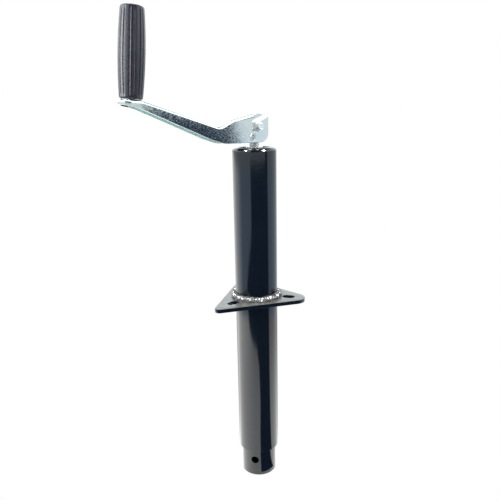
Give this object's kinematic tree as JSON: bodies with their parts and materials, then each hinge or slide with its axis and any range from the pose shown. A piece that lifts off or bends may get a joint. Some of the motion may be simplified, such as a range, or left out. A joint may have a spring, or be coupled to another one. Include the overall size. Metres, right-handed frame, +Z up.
{
  "type": "trailer jack",
  "caption": "Round A-frame trailer jack, black tube with a triangular mounting plate, plain drop leg, bearing-carried lift screw and a zinc-plated fold-over crank with a barrel grip",
  "frame": {"origin": "on the axis of the outer tube, in the plane of the mounting plate's underside, which rests on the coupler", "axes": "+Z up along the tube towards the crank, +X towards the plate's front corner and slot, +Y towards the side of the tube with the leg's guide pin"},
  "size_m": [0.1865, 0.1987, 0.6237],
  "materials": {
    "black_paint": "gloss",
    "zinc_plate": "satin",
    "plain_steel": "satin",
    "ball_steel": "polished",
    "bronze": "satin",
    "cast_iron": "as_cast",
    "grip_plastic": "semi_gloss"
  },
  "bodies": {
    "housing": {"outer_tube": "black_paint", "mounting_plate": "black_paint", "plate_weld_upper": "black_paint", "plate_weld_lower": "black_paint", "top_cap": "black_paint", "top_bush": "bronze", "bearing_upper_race": "plain_steel", "leg_guide_pin": "black_paint"},
    "leg": {"drop_leg": "black_paint", "lift_nut": "cast_iron"},
    "screw": {"lift_screw": "plain_steel", "thrust_washer": "plain_steel", "bearing_lower_race": "plain_steel", "retaining_washer": "zinc_plate", "retaining_pin": "plain_steel", "screw_stop_washer": "plain_steel", "screw_stop_pin": "plain_steel", "crank_bolt": "zinc_plate", "crank_bolt_nut": "zinc_plate", "crank_bolt_washers": "zinc_plate"},
    "ball_set": {"bearing_balls": "ball_steel", "bearing_cage": "bronze"},
    "crank": {"crank_arm": "zinc_plate", "crank_stop_pin": "plain_steel", "grip_axle": "plain_steel", "grip_washer": "zinc_plate"},
    "grip_body": {"grip": "grip_plastic"}
  },
  "joints": [
    {"name": "leg_slide", "type": "slide", "parent": "housing", "child": "leg", "axis": [0, 0, -1], "range_m": [0, 0.34]},
    {"name": "crank_spin", "type": "hinge", "parent": "housing", "child": "screw", "pos_m": [0, 0, 0.2], "axis": [0, 0, -1], "range_deg": [0, 30600]},
    {"name": "bearing_spin", "type": "hinge", "parent": "housing", "child": "ball_set", "pos_m": [0, 0, 0.1889], "axis": [0, 0, -1], "range_deg": [0, 15300]},
    {"name": "crank_fold", "type": "hinge", "parent": "screw", "child": "crank", "pos_m": [0, 0, 0.231], "axis": [-0.7604, 0.6494, 0], "range_deg": [0, 190]},
    {"name": "grip_spin", "type": "hinge", "parent": "crank", "child": "grip_body", "pos_m": [-0.10605, -0.12417, 0.2627], "axis": [0.0622, 0.0729, 0.9954], "continuous": true}
  ],
  "couplings": [
    {"joint": "leg_slide", "follows": "crank_spin", "m_per_rad": 0.00063662},
    {"joint": "bearing_spin", "follows": "crank_spin", "ratio": 0.5}
  ]
}
